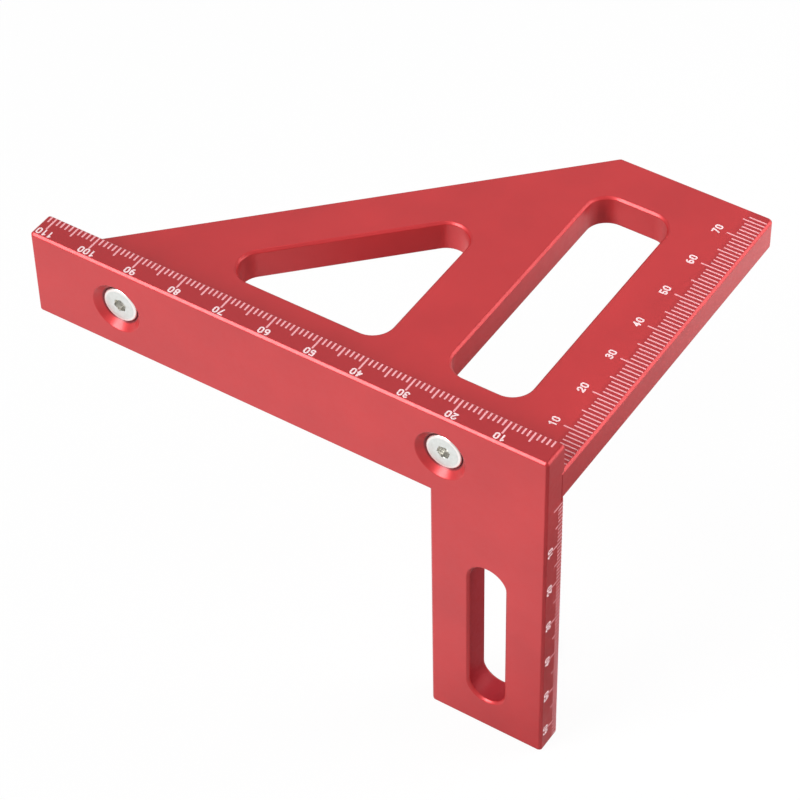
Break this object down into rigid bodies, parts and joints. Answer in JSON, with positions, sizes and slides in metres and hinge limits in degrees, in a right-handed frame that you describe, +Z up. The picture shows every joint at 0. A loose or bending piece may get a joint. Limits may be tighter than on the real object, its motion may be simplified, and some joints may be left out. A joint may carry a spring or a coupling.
{
  "type": "mitre angle ruler",
  "caption": "Rigid marking-out ruler: a right-angled triangle plate screwed into the back of an L-shaped front plate, with millimetre scales for 45 and 90 degree lines.",
  "frame": {"origin": "on the line where the rear face of the front plate meets the underside of the triangle plate, at the zero of the front scale: the inner corner that sits on the edge of the work", "axes": "+X along the front plate towards the end with the leg, +Y from the front plate back over the work, +Z up out of the triangle plate's top face"},
  "size_m": [0.113, 0.0835, 0.0795],
  "materials": {
    "anodised": "red anodised, satin",
    "screw_steel": "zinc plated, bright"
  },
  "bodies": {
    "root": {"triangle_plate": "anodised", "fence_plate": "anodised", "left_screw": "screw_steel", "right_screw": "screw_steel"}
  },
  "joints": []
}
